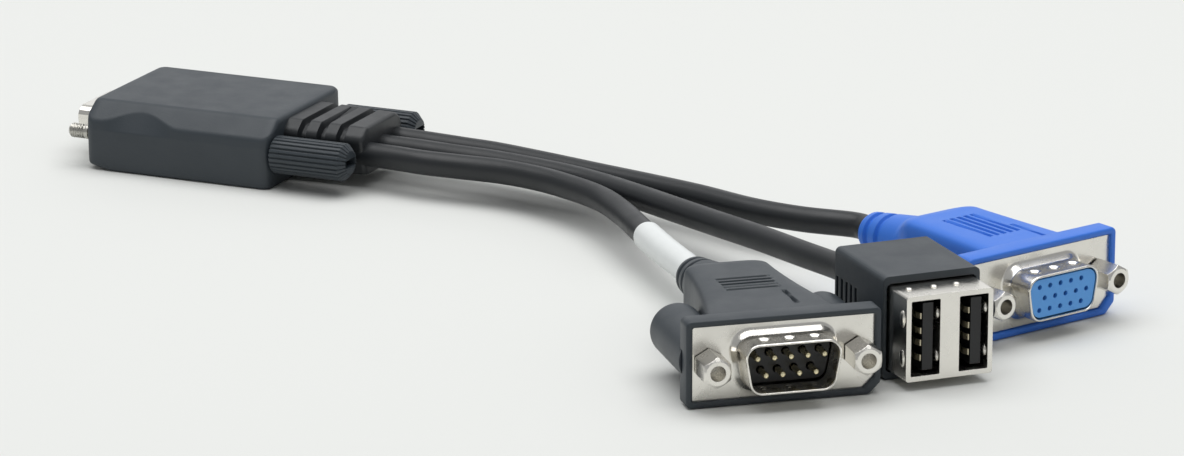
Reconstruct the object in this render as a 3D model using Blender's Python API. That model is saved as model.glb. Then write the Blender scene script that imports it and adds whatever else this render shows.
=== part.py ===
"""Console breakout cable: a flat hub plug with two captive thumbscrews, three short leads, and a
serial, a twin USB and a video connector on their ends. Metres, +Z up.

The frame's origin is the middle of the hub hood's underside. +X runs along the hub towards the leads.
Each connector has a frame of its own: +X is the way it faces, +Y is to the right of someone who looks
at its face, +Z is up, and its origin is on the table under the middle of its flange.
"""

import math

import bmesh
import bpy
from mathutils import Vector

MM = 0.001

# Clearances between pieces that touch on the real cable
GAP = 0.3 * MM
PIN_CLEARANCE = 0.2 * MM
LABEL_CLEARANCE = 0.12 * MM

# Smoothness: points in a quarter turn of an outline
CORNER_POINTS = 5
SMALL_ROUND_POINTS = 3

# Hub hood
HOOD_LENGTH = 37.8 * MM
HOOD_REAR = 18.55 * MM
HOOD_WIDTH = 30.6 * MM
HOOD_HEIGHT = 12.5 * MM
NEAR_BEVEL_IN = 4.9 * MM
NEAR_BEVEL_DOWN = 2.7 * MM
FAR_BEVEL_IN = 1.2 * MM
FAR_BEVEL_DOWN = 0.8 * MM
HOOD_WAIST = 7.6 * MM
HOOD_DRAFT = 0.2 * MM
HOOD_END_RADIUS = 2.0 * MM
HOOD_EDGE_RADIUS = 0.6 * MM
DISH_START = 3.3 * MM
DISH_LENGTH = 15.5 * MM
DISH_DEPTH_TOP = 2.3 * MM
FAR_DISH_DEPTH_TOP = 0.3 * MM
DISH_DEPTH_BOTTOM = 0.3 * MM
TOE_LENGTH = 5.0 * MM
TOE_RISE = 1.0 * MM

# Hub thumbscrews
SCREW_INSET = 2.9 * MM
SCREW_SPACING = HOOD_WIDTH - 2 * SCREW_INSET
SCREW_HEIGHT = HOOD_HEIGHT / 2
SHANK_RADIUS = 1.0 * MM
THREAD_RADIUS = 1.38 * MM
TIP_REACH = 4.2 * MM
TIP_CHAMFER = 0.5 * MM
HEAD_RADIUS = 3.45 * MM
HEAD_LENGTH = 14.2 * MM
HEAD_STANDOFF = 1.0 * MM
HEAD_CHAMFER = 1.2 * MM
KNURL_RIBS = 24
KNURL_DEPTH = 0.28 * MM
DRIVER_SLOT_LENGTH = 4.2 * MM
DRIVER_SLOT_WIDTH = 1.5 * MM
DRIVER_SLOT_DEPTH = 1.9 * MM
FAR_SCREW_BACKED_OUT = 1.9 * MM

# Hub connector
HUB_SHELL_WIDTH = 15.4 * MM
HUB_SHELL_HEIGHT = 5.9 * MM
HUB_SHELL_CORNER = 1.9 * MM
HUB_SHELL_REACH = 5.5 * MM
HUB_FLANGE_EAR = 1.8 * MM
HUB_FLANGE_LEDGE = 0.6 * MM
HUB_FLANGE_WIDTH = HUB_SHELL_WIDTH + 2 * HUB_FLANGE_EAR
HUB_FLANGE_HEIGHT = HUB_SHELL_HEIGHT + 2 * HUB_FLANGE_LEDGE
HUB_TONGUE_SIDE_GAP = 1.4 * MM
HUB_TONGUE_WIDTH = HUB_SHELL_WIDTH - 2 * HUB_TONGUE_SIDE_GAP
HUB_TONGUE_THICKNESS = 2.0 * MM
HUB_TONGUE_SETBACK = 0.9 * MM
HUB_CONTACT_COUNT = 18
HUB_CONTACT_WIDTH = 0.36 * MM
HUB_CONTACT_MARGIN = 0.81 * MM
HUB_CONTACT_PITCH = (HUB_TONGUE_WIDTH - 2 * HUB_CONTACT_MARGIN) / (HUB_CONTACT_COUNT - 1)
HUB_CONTACT_RISE = 0.16 * MM
HUB_INSULATOR_DEPTH = 1.4 * MM

# Hub strain relief
RELIEF_LENGTH = 15.3 * MM
HEAD_CLEARANCE = 1.65 * MM
RELIEF_OVERHANG = 1.8 * MM
RELIEF_BEVEL_IN = 2.5 * MM
RELIEF_BEVEL_DOWN = 1.9 * MM
RELIEF_STEP_DOWN = 0.9 * MM
RELIEF_HALF_BOTTOM = SCREW_SPACING / 2 - HEAD_RADIUS - HEAD_CLEARANCE
RELIEF_HALF_SHOULDER = RELIEF_HALF_BOTTOM + RELIEF_OVERHANG
RELIEF_HALF_TOP = RELIEF_HALF_SHOULDER - RELIEF_BEVEL_IN
RELIEF_TOP = HOOD_HEIGHT - RELIEF_STEP_DOWN
RELIEF_SHOULDER = RELIEF_TOP - RELIEF_BEVEL_DOWN
RELIEF_BOTTOM = 2.0 * MM
RELIEF_CORNER = 2.2 * MM
RELIEF_TAPER = 0.5 * MM
RELIEF_ROOT_DEPTH = 3.0 * MM
RELIEF_SLOT_FIRST = 3.4 * MM
RELIEF_SLOT_PITCH = 3.6 * MM
RELIEF_SLOT_WIDTH = 1.4 * MM
RELIEF_SLOT_DEPTH = 1.5 * MM

# Stamped D-shaped shells of the serial and the video connector
FLANGE_CORNER = 0.6 * MM
SHEET = 0.5 * MM
SHELL_WALL = 0.4 * MM
SHELL_ROOT_FLARE = 0.7 * MM
D_SLANT = math.radians(10.0)
SERIAL_SHELL_WIDTH = 16.9 * MM
SERIAL_SHELL_HEIGHT = 8.5 * MM
VIDEO_SHELL_WIDTH = 16.3 * MM
VIDEO_SHELL_HEIGHT = 7.9 * MM
SHELL_REACH = 5.9 * MM
SHELL_CORNER = 2.4 * MM

# Standoffs beside the shells
STANDOFF_EDGE = 2.9 * MM
STANDOFF_ACROSS_FLATS = 4.5 * MM
STANDOFF_LENGTH = 5.4 * MM
STANDOFF_CHAMFER = 0.5 * MM
STANDOFF_BORE_RADIUS = 1.3 * MM
STANDOFF_BORE_DEPTH = 4.6 * MM

# Serial connector
SERIAL_PLACE = (149.1 * MM, -91.5 * MM)
SERIAL_HEADING = math.radians(-50.9)
SERIAL_FRAME_WIDTH = 32.5 * MM
SERIAL_FRAME_HEIGHT = 14.5 * MM
SERIAL_FRAME_LEDGE = 1.0 * MM
SERIAL_BODY_LENGTH = 31.0 * MM
SERIAL_PLUG_LENGTH = 50.0 * MM
SERIAL_BOSS_LENGTH = 21.0 * MM
SERIAL_BOSS_RADIUS = 4.5 * MM
SERIAL_BODY_FRONT_WIDTH = 23.6 * MM
SERIAL_BODY_REAR_WIDTH = 14.8 * MM
SERIAL_TAIL_DROP = 0.9 * MM
SERIAL_INSULATOR_STEP = 1.0 * MM
PIN_RADIUS = 0.5 * MM
PIN_REACH = 4.6 * MM
PIN_PITCH = 2.77 * MM
PIN_ROW_PITCH = 2.84 * MM

# Video connector
VIDEO_PLACE = (173.9 * MM, -38.7 * MM)
VIDEO_HEADING = math.radians(-29.1)
VIDEO_FRAME_WIDTH = 32.5 * MM
VIDEO_FRAME_HEIGHT = 15.0 * MM
VIDEO_FRAME_LEDGE = 1.25 * MM
VIDEO_BODY_LENGTH = 25.0 * MM
VIDEO_PLUG_LENGTH = 43.5 * MM
VIDEO_BOSS_LENGTH = 7.4 * MM
VIDEO_BOSS_RADIUS = 3.6 * MM
VIDEO_BODY_FRONT_WIDTH = 18.4 * MM
VIDEO_BODY_REAR_WIDTH = 16.4 * MM
VIDEO_TAIL_DROP = 0.6 * MM
SOCKET_RADIUS = 0.45 * MM
SOCKET_DEPTH = 2.5 * MM
SOCKET_PITCH = 2.29 * MM
SOCKET_ROW_PITCH = 1.98 * MM

# Moulded hoods of both
FRAME_THICKNESS = 4.0 * MM
FRAME_LIP = 0.3 * MM
FRAME_BORDER = 0.85 * MM
FRAME_CORNER = 1.0 * MM
WINDOW_OVERLAP = 0.3 * MM
BODY_DROP = 0.5 * MM
BODY_CORNER = 2.2 * MM
FRAME_CHAMFER = 1.9 * MM
TAIL_RADIUS = 3.4 * MM
TAIL_ROOT_RADIUS = 4.4 * MM
TAIL_END_RADIUS = 3.1 * MM
TAIL_GROOVE_WIDTH = 1.2 * MM
TAIL_GROOVE_DEPTH = 0.6 * MM
TAIL_GROOVE_PITCH = 3.2 * MM
TAIL_LENGTH = 10.2 * MM
LEAD_SOCKET_DEPTH = 2.0 * MM
BOSS_INSET = 0.3 * MM
BOSS_DOME = 2.6 * MM
GRIP_COUNT = 5
GRIP_PITCH = 1.5 * MM
GRIP_WIDTH = 0.65 * MM
GRIP_DEPTH = 0.5 * MM
GRIP_LINE_PLACE = 4.4 * MM
SERIAL_GRIP_SPAN = 9.0 * MM
SERIAL_GRIP_SETBACK = 18.0 * MM
VIDEO_GRIP_SPAN = 11.4 * MM
VIDEO_GRIP_SETBACK = 9.0 * MM

# Twin USB connector
USB_PLACE = (170.85 * MM, -74.05 * MM)
USB_HEADING = math.radians(-44.5)
USB_SHELL_WIDTH = 15.3 * MM
USB_SHELL_HEIGHT = 14.3 * MM
USB_SHELL_DEPTH = 14.3 * MM
USB_SHELL_REACH = 7.0 * MM
USB_SHELL_CORNER = 0.5 * MM
PORT_WIDTH = 5.1 * MM
PORT_SIDE_WALL = 0.85 * MM
PORT_END_WALL = 0.85 * MM
PORT_HEIGHT = USB_SHELL_HEIGHT - 2 * PORT_END_WALL
PORT_PITCH = USB_SHELL_WIDTH - PORT_WIDTH - 2 * PORT_SIDE_WALL
TONGUE_THICKNESS = 1.84 * MM
TONGUE_END_GAP = 0.7 * MM
TONGUE_HEIGHT = PORT_HEIGHT - 2 * TONGUE_END_GAP
TONGUE_SETBACK = 0.9 * MM
TONGUE_OFFSET = 0.75 * MM
USB_BACK_PLATE = 1.6 * MM
USB_CONTACT_HEIGHTS = (3.5 * MM, 1.0 * MM, -1.0 * MM, -3.5 * MM)
USB_CONTACT_WIDTH = 1.0 * MM
USB_CONTACT_THICKNESS = 0.22 * MM
USB_CONTACT_LENGTH = 9.0 * MM
USB_CONTACT_SETBACK = 0.9 * MM
USB_CONTACT_BUMP = 0.4 * MM
BOOT_SIDE_WALL = 0.9 * MM
BOOT_END_WALL = 1.5 * MM
BOOT_WIDTH = USB_SHELL_WIDTH + 2 * BOOT_SIDE_WALL
BOOT_HEIGHT = USB_SHELL_HEIGHT + 2 * BOOT_END_WALL
BOOT_LENGTH = 19.8 * MM
BOOT_CORNER = 0.9 * MM
BOOT_COLLAR_LENGTH = 2.0 * MM
BOOT_COLLAR_WIDTH = 10.0 * MM
BOOT_COLLAR_HEIGHT = 11.0 * MM
BOOT_SLOT_COUNT = 5
BOOT_SLOT_PITCH = 1.8 * MM
BOOT_SLOT_WIDTH = 0.8 * MM
BOOT_SLOT_HEIGHT = 7.8 * MM
BOOT_SLOT_DEPTH = 0.9 * MM
BOOT_SLOT_SETBACK = 1.5 * MM

# Leads
LEAD_DIAMETER = 4.5 * MM
LEAD_PITCH = 5.8 * MM
LEAD_POINT_SPACING = 2.1 * LEAD_DIAMETER
LEAD_STRAIGHT = 1.0 * LEAD_DIAMETER
LABEL_LENGTH = 24.0 * MM
LABEL_SETBACK = 0.6 * MM
LABEL_THICKNESS = 0.16 * MM

# Route points between the hub and each connector, chosen by hand
SERIAL_ROUTE = [
    (40.5 * MM, -6.5 * MM, 6.3 * MM),
    (46.0 * MM, -7.1 * MM, 6.3 * MM),
    (52.9 * MM, -7.0 * MM, 6.3 * MM),
    (60.8 * MM, -7.2 * MM, 6.4 * MM),
    (67.5 * MM, -8.6 * MM, 6.5 * MM),
    (74.2 * MM, -10.9 * MM, 6.5 * MM),
    (84.4 * MM, -16.4 * MM, 6.5 * MM),
    (92.3 * MM, -24.0 * MM, 6.5 * MM),
    (99.6 * MM, -32.5 * MM, 6.4 * MM),
    (107.6 * MM, -41.6 * MM, 6.35 * MM),
]
USB_ROUTE = [
    (42.0 * MM, -0.5 * MM, 6.3 * MM),
    (50.0 * MM, -1.3 * MM, 6.3 * MM),
    (58.5 * MM, -2.0 * MM, 6.3 * MM),
    (71.4 * MM, -4.6 * MM, 6.3 * MM),
    (80.7 * MM, -7.8 * MM, 6.3 * MM),
    (90.7 * MM, -13.1 * MM, 6.5 * MM),
    (100.8 * MM, -19.2 * MM, 6.8 * MM),
    (110.8 * MM, -25.2 * MM, 7.1 * MM),
    (120.9 * MM, -31.4 * MM, 7.5 * MM),
    (131.2 * MM, -38.3 * MM, 7.9 * MM),
    (141.2 * MM, -45.0 * MM, 8.3 * MM),
]
VIDEO_ROUTE = [
    (41.3 * MM, 5.2 * MM, 6.2 * MM),
    (48.5 * MM, 4.7 * MM, 6.1 * MM),
    (55.6 * MM, 3.9 * MM, 6.1 * MM),
    (66.7 * MM, 1.6 * MM, 6.0 * MM),
    (77.9 * MM, -1.3 * MM, 6.0 * MM),
    (88.9 * MM, -4.6 * MM, 6.2 * MM),
    (100.2 * MM, -8.6 * MM, 6.5 * MM),
    (111.7 * MM, -13.0 * MM, 6.6 * MM),
    (121.9 * MM, -15.0 * MM, 6.7 * MM),
]

REAR = HOOD_REAR
FRONT = REAR - HOOD_LENGTH


def clear_scene():
    """Empties the file of the objects that it opens with."""
    for old in list(bpy.data.objects):
        bpy.data.objects.remove(old)


def finish(name, red, green, blue, roughness, metallic=0.0):
    """A material of one colour, given as linear red, green and blue."""
    material = bpy.data.materials.new(name)
    material.use_nodes = True
    shader = material.node_tree.nodes["Principled BSDF"]
    shader.inputs["Base Color"].default_value = (red, green, blue, 1.0)
    shader.inputs["Roughness"].default_value = roughness
    shader.inputs["Metallic"].default_value = metallic
    return material


def set_finish(obj, *look):
    """Gives an object its own material."""
    obj.data.materials.append(finish(obj.name, *look))


BLACK_PLASTIC = (0.030, 0.032, 0.036, 0.55)
BLACK_RUBBER = (0.022, 0.023, 0.026, 0.45)
INSULATOR_BLACK = (0.012, 0.012, 0.014, 0.40)
BLUE_PLASTIC = (0.030, 0.120, 0.620, 0.45)
PALE_BLUE = (0.100, 0.270, 0.600, 0.50)
NICKEL = (0.560, 0.550, 0.520, 0.28, 1.0)
PLATED = (0.780, 0.640, 0.330, 0.30, 1.0)
STEEL = (0.450, 0.450, 0.440, 0.35, 1.0)
WHITE_FILM = (0.800, 0.810, 0.800, 0.50)


def rounded_outline(corners, radius, plain=(), last_points=CORNER_POINTS):
    """A convex outline, anticlockwise seen from +X, with arcs at all corners but the plain ones."""
    outline = []
    count = len(corners)
    for index in range(count):
        corner = Vector(corners[index])
        if index in plain:
            outline.append(tuple(corner))
            continue
        before = (Vector(corners[index - 1]) - corner).normalized()
        after = (Vector(corners[(index + 1) % count]) - corner).normalized()
        half = before.angle(after) / 2
        centre = corner + (before + after).normalized() * (radius / math.sin(half))
        start = corner + before * (radius / math.tan(half)) - centre
        turn = math.pi - 2 * half
        points = last_points if index == count - 1 else CORNER_POINTS
        for step in range(points):
            angle = turn * step / (points - 1)
            cosine, sine = math.cos(angle), math.sin(angle)
            across = start.x * cosine - start.y * sine
            up = start.x * sine + start.y * cosine
            outline.append((centre.x + across, centre.y + up))
    return outline


def box_outline(width, height, middle, radius, across=0.0):
    """A rounded rectangle about (across, middle)."""
    y, z = width / 2, height / 2
    corners = [(across + y, middle + z), (across - y, middle + z)]
    corners += [(across - y, middle - z), (across + y, middle - z)]
    return rounded_outline(corners, radius)


def frame_outline(width, height, middle, radius, chamfer):
    """A rounded rectangle whose lower right corner is cut off."""
    y, z = width / 2, height / 2
    corners = [(y, middle + z), (-y, middle + z), (-y, middle - z)]
    corners += [(y - chamfer, middle - z), (y, middle - z + chamfer)]
    return rounded_outline(corners, radius)


def d_outline(width, height, middle, radius, last_points=CORNER_POINTS):
    """The D shape of the shells: wide at the top, with sides that slant inwards below."""
    y, z = width / 2, height / 2
    slant = height * math.tan(D_SLANT)
    corners = [(y, middle + z), (-y, middle + z)]
    corners += [(slant - y, middle - z), (y - slant, middle - z)]
    return rounded_outline(corners, radius, last_points=last_points)


def round_outline(radius, middle, across=0.0, last_quarter=None, points=CORNER_POINTS):
    """A circle with as many points as the rounded rectangles, in the same order."""
    angles = []
    for quarter, count in enumerate((points, points, points, last_quarter or points)):
        angles += [math.pi / 2 * (quarter + (index + 0.5) / count) for index in range(count)]
    return [(across + radius * math.cos(a), middle + radius * math.sin(a)) for a in angles]


def mesh_object(name, mesh_data, parent=None):
    """Puts a finished bmesh into the scene as a named object, with its faces pointing out."""
    bmesh.ops.recalc_face_normals(mesh_data, faces=mesh_data.faces)
    mesh = bpy.data.meshes.new(name)
    mesh_data.to_mesh(mesh)
    mesh_data.free()
    obj = bpy.data.objects.new(name, mesh)
    bpy.context.scene.collection.objects.link(obj)
    obj.parent = parent
    return obj


def add_loft(mesh_data, sections, ring=False):
    """Joins outlines of equal length at stations along X. A ring joins the last to the first."""
    loops = [[mesh_data.verts.new((x, y, z)) for y, z in outline] for x, outline in sections]
    pairs = list(zip(loops, loops[1:]))
    if ring:
        pairs.append((loops[-1], loops[0]))
    else:
        mesh_data.faces.new(loops[0])
        mesh_data.faces.new(loops[-1])
    for first, second in pairs:
        count = len(first)
        for index in range(count):
            after = (index + 1) % count
            mesh_data.faces.new((first[index], first[after], second[after], second[index]))


def loft(name, sections, parent=None, ring=False):
    """One solid through the outlines at the stations along X."""
    mesh_data = bmesh.new()
    add_loft(mesh_data, sections, ring)
    return mesh_object(name, mesh_data, parent)


def add_box(mesh_data, low, high):
    """A plain box between two corners."""
    size = [high[axis] - low[axis] for axis in range(3)]
    middle = [(high[axis] + low[axis]) / 2 for axis in range(3)]
    made = bmesh.ops.create_cube(mesh_data, size=1.0)
    bmesh.ops.scale(mesh_data, vec=size, verts=made["verts"])
    bmesh.ops.translate(mesh_data, vec=middle, verts=made["verts"])


def boxes(name, corners, parent=None):
    """Several boxes that don't meet, in one object, given as pairs of corners."""
    mesh_data = bmesh.new()
    for low, high in corners:
        add_box(mesh_data, low, high)
    return mesh_object(name, mesh_data, parent)


def combine(target, tool, operation):
    """Cuts the tool out of the target, or joins it on, and hides the tool."""
    modifier = target.modifiers.new(tool.name, "BOOLEAN")
    modifier.operation = operation
    modifier.solver = "EXACT"
    modifier.object = tool
    tool.hide_render = True
    tool.display_type = "WIRE"


def smooth(obj, degrees=35.0):
    """Shades a round piece smooth up to its hard edges."""
    obj.data.shade_smooth()
    obj.data.set_sharp_from_angle(angle=math.radians(degrees))


def place(name, position, heading):
    """An empty that carries a connector."""
    empty = bpy.data.objects.new(name, None)
    bpy.context.scene.collection.objects.link(empty)
    empty.location = (position[0], position[1], 0.0)
    empty.rotation_euler = (0.0, 0.0, heading)
    return empty


def in_world(position, heading, x, z):
    """Where a point on a connector's middle plane lies in the frame of the whole cable."""
    along = Vector((math.cos(heading), math.sin(heading), 0.0))
    return Vector((position[0], position[1], z)) + along * x


def dish(x):
    """How deep the thumb dish is at a station, from 0 to 1: an arc with soft ends."""
    share = (x - FRONT - DISH_START) / DISH_LENGTH
    if share <= 0.0 or share >= 1.0:
        return 0.0
    return math.sin(math.pi * share) ** 1.4


def hood_section(x):
    """The hood's outline at a station: flat top, a broad slope on the near side, dished sides."""
    ends = min(x - FRONT, REAR - x)
    inset = 0.0
    if ends < HOOD_END_RADIUS:
        reach = HOOD_END_RADIUS - ends
        inset = HOOD_END_RADIUS - math.sqrt(max(HOOD_END_RADIUS**2 - reach**2, 0.0))
    lift = TOE_RISE * max(0.0, 1.0 - (x - FRONT) / TOE_LENGTH)
    side = HOOD_WIDTH / 2 - inset
    waist = side - DISH_DEPTH_BOTTOM * dish(x)
    top = HOOD_HEIGHT - 0.2 * inset
    halves = []
    for into, down, deep, share in (
        (FAR_BEVEL_IN, FAR_BEVEL_DOWN, FAR_DISH_DEPTH_TOP, 1.0),
        (NEAR_BEVEL_IN, NEAR_BEVEL_DOWN, DISH_DEPTH_TOP, 0.5),
    ):
        shoulder = HOOD_WIDTH / 2 - into - share * inset
        upper = side - HOOD_DRAFT - deep * dish(x)
        turn = top - (upper - shoulder - (1 - share) * inset) * down / into
        halves.append([(shoulder, top), (upper, turn), (waist, HOOD_WAIST), (side - HOOD_DRAFT, lift)])
    right, left = halves
    corners = right[:1] + [(-y, z) for y, z in left] + right[:0:-1]
    return rounded_outline(corners, HOOD_EDGE_RADIUS, plain=(3, 6))


def hub_hood():
    """The moulded hood with its pockets for the connector and the strain relief, and two screw bores."""
    ends = [HOOD_END_RADIUS * (1 - math.cos(math.radians(a))) for a in (0, 30, 60, 90)]
    stations = [FRONT + e for e in ends] + [REAR - e for e in ends]
    stations += [FRONT + TOE_LENGTH * share for share in (0.7, 1.0)]
    stations += [FRONT + DISH_START + DISH_LENGTH * step / 9 for step in range(10)]
    sections = [(x, hood_section(x)) for x in sorted(set(stations))]
    hood = loft("hub_hood", sections)
    flange = box_outline(
        HUB_FLANGE_WIDTH + 2 * GAP, HUB_FLANGE_HEIGHT + 2 * GAP, SCREW_HEIGHT, FLANGE_CORNER + GAP
    )
    pocket = loft("hub_front_pocket", [(FRONT - GAP, flange), (FRONT + SHEET + 2 * GAP, flange)])
    block = d_outline(*hub_insulator_size(GAP), SCREW_HEIGHT, HUB_SHELL_CORNER)
    inner = loft("hub_inner_pocket", [(FRONT, block), (FRONT + 3 * GAP + HUB_INSULATOR_DEPTH, block)])
    root = relief_outline(GAP)
    seat = loft("hub_rear_pocket", [(REAR - RELIEF_ROOT_DEPTH - GAP, root), (REAR + GAP, root)])
    bore_mesh = bmesh.new()
    for side in (-1, 1):
        bore = round_outline(SHANK_RADIUS + GAP, SCREW_HEIGHT, side * SCREW_SPACING / 2)
        add_loft(bore_mesh, [(FRONT - GAP, bore), (REAR + GAP, bore)])
    bores = mesh_object("hub_screw_bores", bore_mesh)
    for tool in (pocket, inner, seat, bores):
        combine(hood, tool, "DIFFERENCE")
    set_finish(hood, *BLACK_PLASTIC)
    return hood


def hub_insulator_size(growth):
    """Width and height of the block inside the hub's shell, grown on every side."""
    inside = 2 * (SHELL_WALL + GAP) - 2 * growth
    return HUB_SHELL_WIDTH - inside, HUB_SHELL_HEIGHT - inside


def hub_shell():
    """The hub connector's nickel flange and D-shaped skirt, one stamped piece that faces -X."""
    seat = FRONT + SHEET + GAP
    outer = d_outline(HUB_SHELL_WIDTH, HUB_SHELL_HEIGHT, SCREW_HEIGHT, HUB_SHELL_CORNER)
    flared = d_outline(
        HUB_SHELL_WIDTH + 2 * SHELL_ROOT_FLARE,
        HUB_SHELL_HEIGHT + 2 * SHELL_ROOT_FLARE,
        SCREW_HEIGHT,
        HUB_SHELL_CORNER + SHELL_ROOT_FLARE,
    )
    wall = 2 * SHELL_WALL
    bore = d_outline(
        HUB_SHELL_WIDTH - wall, HUB_SHELL_HEIGHT - wall, SCREW_HEIGHT, HUB_SHELL_CORNER - SHELL_WALL
    )
    plate = box_outline(HUB_FLANGE_WIDTH, HUB_FLANGE_HEIGHT, SCREW_HEIGHT, FLANGE_CORNER)
    face = seat - SHEET
    rim = FRONT - HUB_SHELL_REACH
    sections = [(seat, plate), (face, plate), (face, flared), (face - SHELL_ROOT_FLARE, outer)]
    sections += [(rim, outer), (rim, bore), (seat, bore)]
    shell = loft("hub_plug_shell", sections, ring=True)
    smooth(shell)
    set_finish(shell, *NICKEL)


def comb_outline():
    """The tongue's outline with a low rib for each contact, along its top and its underside."""
    y, z = HUB_TONGUE_WIDTH / 2, HUB_TONGUE_THICKNESS / 2
    first = -HUB_CONTACT_PITCH * (HUB_CONTACT_COUNT - 1) / 2
    half = HUB_CONTACT_WIDTH / 2
    upper = [(-y, z)]
    for index in range(HUB_CONTACT_COUNT):
        middle = first + HUB_CONTACT_PITCH * index
        raised = z + HUB_CONTACT_RISE
        upper += [(middle - half, z), (middle - half, raised), (middle + half, raised), (middle + half, z)]
    upper.append((y, z))
    lower = [(-across, -up) for across, up in upper]
    return [(across, SCREW_HEIGHT + up) for across, up in reversed(upper + lower)]


def hub_contact_block():
    """The hub connector's insulator: a D-shaped block with a flat tongue that carries the contacts."""
    back = FRONT + GAP + HUB_INSULATOR_DEPTH
    face = FRONT - GAP
    block = d_outline(*hub_insulator_size(0.0), SCREW_HEIGHT, HUB_SHELL_CORNER - SHELL_WALL - GAP)
    body = loft("hub_contact_block", [(back, block), (face, block)])
    comb = comb_outline()
    tip = FRONT - HUB_SHELL_REACH + HUB_TONGUE_SETBACK
    tongue = loft("hub_tongue", [(face + GAP, comb), (tip, comb)])
    combine(body, tongue, "UNION")
    set_finish(body, *INSULATOR_BLACK)


def relief_outline(inset):
    """The hub relief's outline: flat top, sloping shoulders, and sides that lean in under the screws."""
    top, shoulder = RELIEF_HALF_TOP - inset, RELIEF_HALF_SHOULDER - inset
    bottom = RELIEF_HALF_BOTTOM - inset
    right = [(top, RELIEF_TOP - inset), (shoulder, RELIEF_SHOULDER - inset / 2)]
    right.append((bottom, RELIEF_BOTTOM + inset))
    left = [(-y, z) for y, z in right]
    return rounded_outline(right[:1] + left + right[:0:-1], RELIEF_CORNER)


def hub_strain_relief():
    """The soft boot that the three leads leave: rooted in the hood, with staggered slots in its skin."""
    start = REAR + GAP
    end = start + RELIEF_LENGTH
    root = relief_outline(2 * GAP)
    sections = [(REAR - RELIEF_ROOT_DEPTH, root), (start, root), (start, relief_outline(0.0))]
    sections.append((end - RELIEF_TAPER, relief_outline(RELIEF_TAPER)))
    sections.append((end, relief_outline(2 * RELIEF_TAPER)))
    relief = loft("hub_strain_relief", sections)
    far = 2 * RELIEF_HALF_SHOULDER
    roof = RELIEF_TOP - RELIEF_SLOT_DEPTH
    floor = RELIEF_BOTTOM + RELIEF_SLOT_DEPTH
    wall = RELIEF_HALF_BOTTOM - RELIEF_SLOT_DEPTH
    foot = RELIEF_SHOULDER - RELIEF_SLOT_DEPTH
    sink = floor + RELIEF_SLOT_DEPTH
    mesh_data = bmesh.new()
    for index in range(3):
        x0 = start + RELIEF_SLOT_FIRST + RELIEF_SLOT_PITCH * index - RELIEF_SLOT_WIDTH / 2
        x1 = x0 + RELIEF_SLOT_WIDTH
        reach = 0.35 * wall if index == 1 else -0.1 * wall
        upper = [(reach, far), (-far, far), (-far, foot), (-wall, foot), (-wall, roof), (reach, roof)]
        lower = [(reach, -far), (reach, floor), (-wall, floor), (-wall, sink), (-far, sink), (-far, -far)]
        for outline in (upper, lower):
            add_loft(mesh_data, [(x0, outline), (x1, outline)])
    combine(relief, mesh_object("relief_slots", mesh_data), "DIFFERENCE")
    socket_mesh = bmesh.new()
    for across in (-LEAD_PITCH, 0.0, LEAD_PITCH):
        socket = round_outline(LEAD_DIAMETER / 2 + GAP, SCREW_HEIGHT, across)
        add_loft(socket_mesh, [(end - LEAD_SOCKET_DEPTH, socket), (end + GAP, socket)])
    combine(relief, mesh_object("relief_lead_sockets", socket_mesh), "DIFFERENCE")
    set_finish(relief, *BLACK_RUBBER)


def knurled_outline(radius, across):
    """The thumb head's outline: flat-topped ribs with narrow valleys between them."""
    outline = []
    for rib in range(KNURL_RIBS):
        for share, depth in ((0.0, 0.0), (0.55, 0.0), (0.7, KNURL_DEPTH), (0.85, KNURL_DEPTH)):
            angle = 2 * math.pi * (rib + share) / KNURL_RIBS
            r = radius - depth
            outline.append((across + r * math.cos(angle), SCREW_HEIGHT + r * math.sin(angle)))
    return outline


def thumbscrew(name, side, backed_out):
    """A steel jackscrew and its moulded head, both turned about the screw's own line."""
    across = side * SCREW_SPACING / 2
    head_start = REAR + HEAD_STANDOFF + backed_out
    head_end = head_start + HEAD_LENGTH
    full = knurled_outline(HEAD_RADIUS, across)
    small = knurled_outline(HEAD_RADIUS - HEAD_CHAMFER, across)
    sections = [(head_start, small), (head_start + HEAD_CHAMFER, full)]
    sections += [(head_end - HEAD_CHAMFER, full), (head_end, small)]
    head = loft(f"{name}_thumb_head", sections)
    socket_end = head_start + HEAD_LENGTH - DRIVER_SLOT_DEPTH - HEAD_CHAMFER
    socket = round_outline(SHANK_RADIUS + GAP, SCREW_HEIGHT, across)
    bore = loft(f"{name}_head_socket", [(head_start - GAP, socket), (socket_end, socket)])
    slot = boxes(
        f"{name}_driver_slot",
        [
            (
                (head_end - DRIVER_SLOT_DEPTH, across - DRIVER_SLOT_LENGTH / 2, SCREW_HEIGHT - DRIVER_SLOT_WIDTH / 2),
                (head_end + GAP, across + DRIVER_SLOT_LENGTH / 2, SCREW_HEIGHT + DRIVER_SLOT_WIDTH / 2),
            )
        ],
    )
    combine(head, bore, "DIFFERENCE")
    combine(head, slot, "DIFFERENCE")
    set_finish(head, *BLACK_PLASTIC)
    tip = FRONT - TIP_REACH + backed_out
    neck = FRONT - 2 * GAP
    points = [(tip, THREAD_RADIUS - TIP_CHAMFER), (tip + TIP_CHAMFER, THREAD_RADIUS)]
    points += [(neck, THREAD_RADIUS), (neck, SHANK_RADIUS), (socket_end - GAP, SHANK_RADIUS)]
    screw = loft(f"{name}_jackscrew", [(x, round_outline(r, SCREW_HEIGHT, across)) for x, r in points])
    smooth(screw)
    set_finish(screw, *STEEL)


def shell_flare(width, height, middle, share):
    """The skirt's outline where it curves out into the flange."""
    grow = SHELL_ROOT_FLARE * share
    return d_outline(width + 2 * grow, height + 2 * grow, middle, SHELL_CORNER + grow, 2 * CORNER_POINTS)


def flange_size(frame_width, frame_height, ledge):
    """Width and height of the flange that a frame holds."""
    return frame_width - 2 * FRAME_BORDER, frame_height - 2 * ledge


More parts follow.
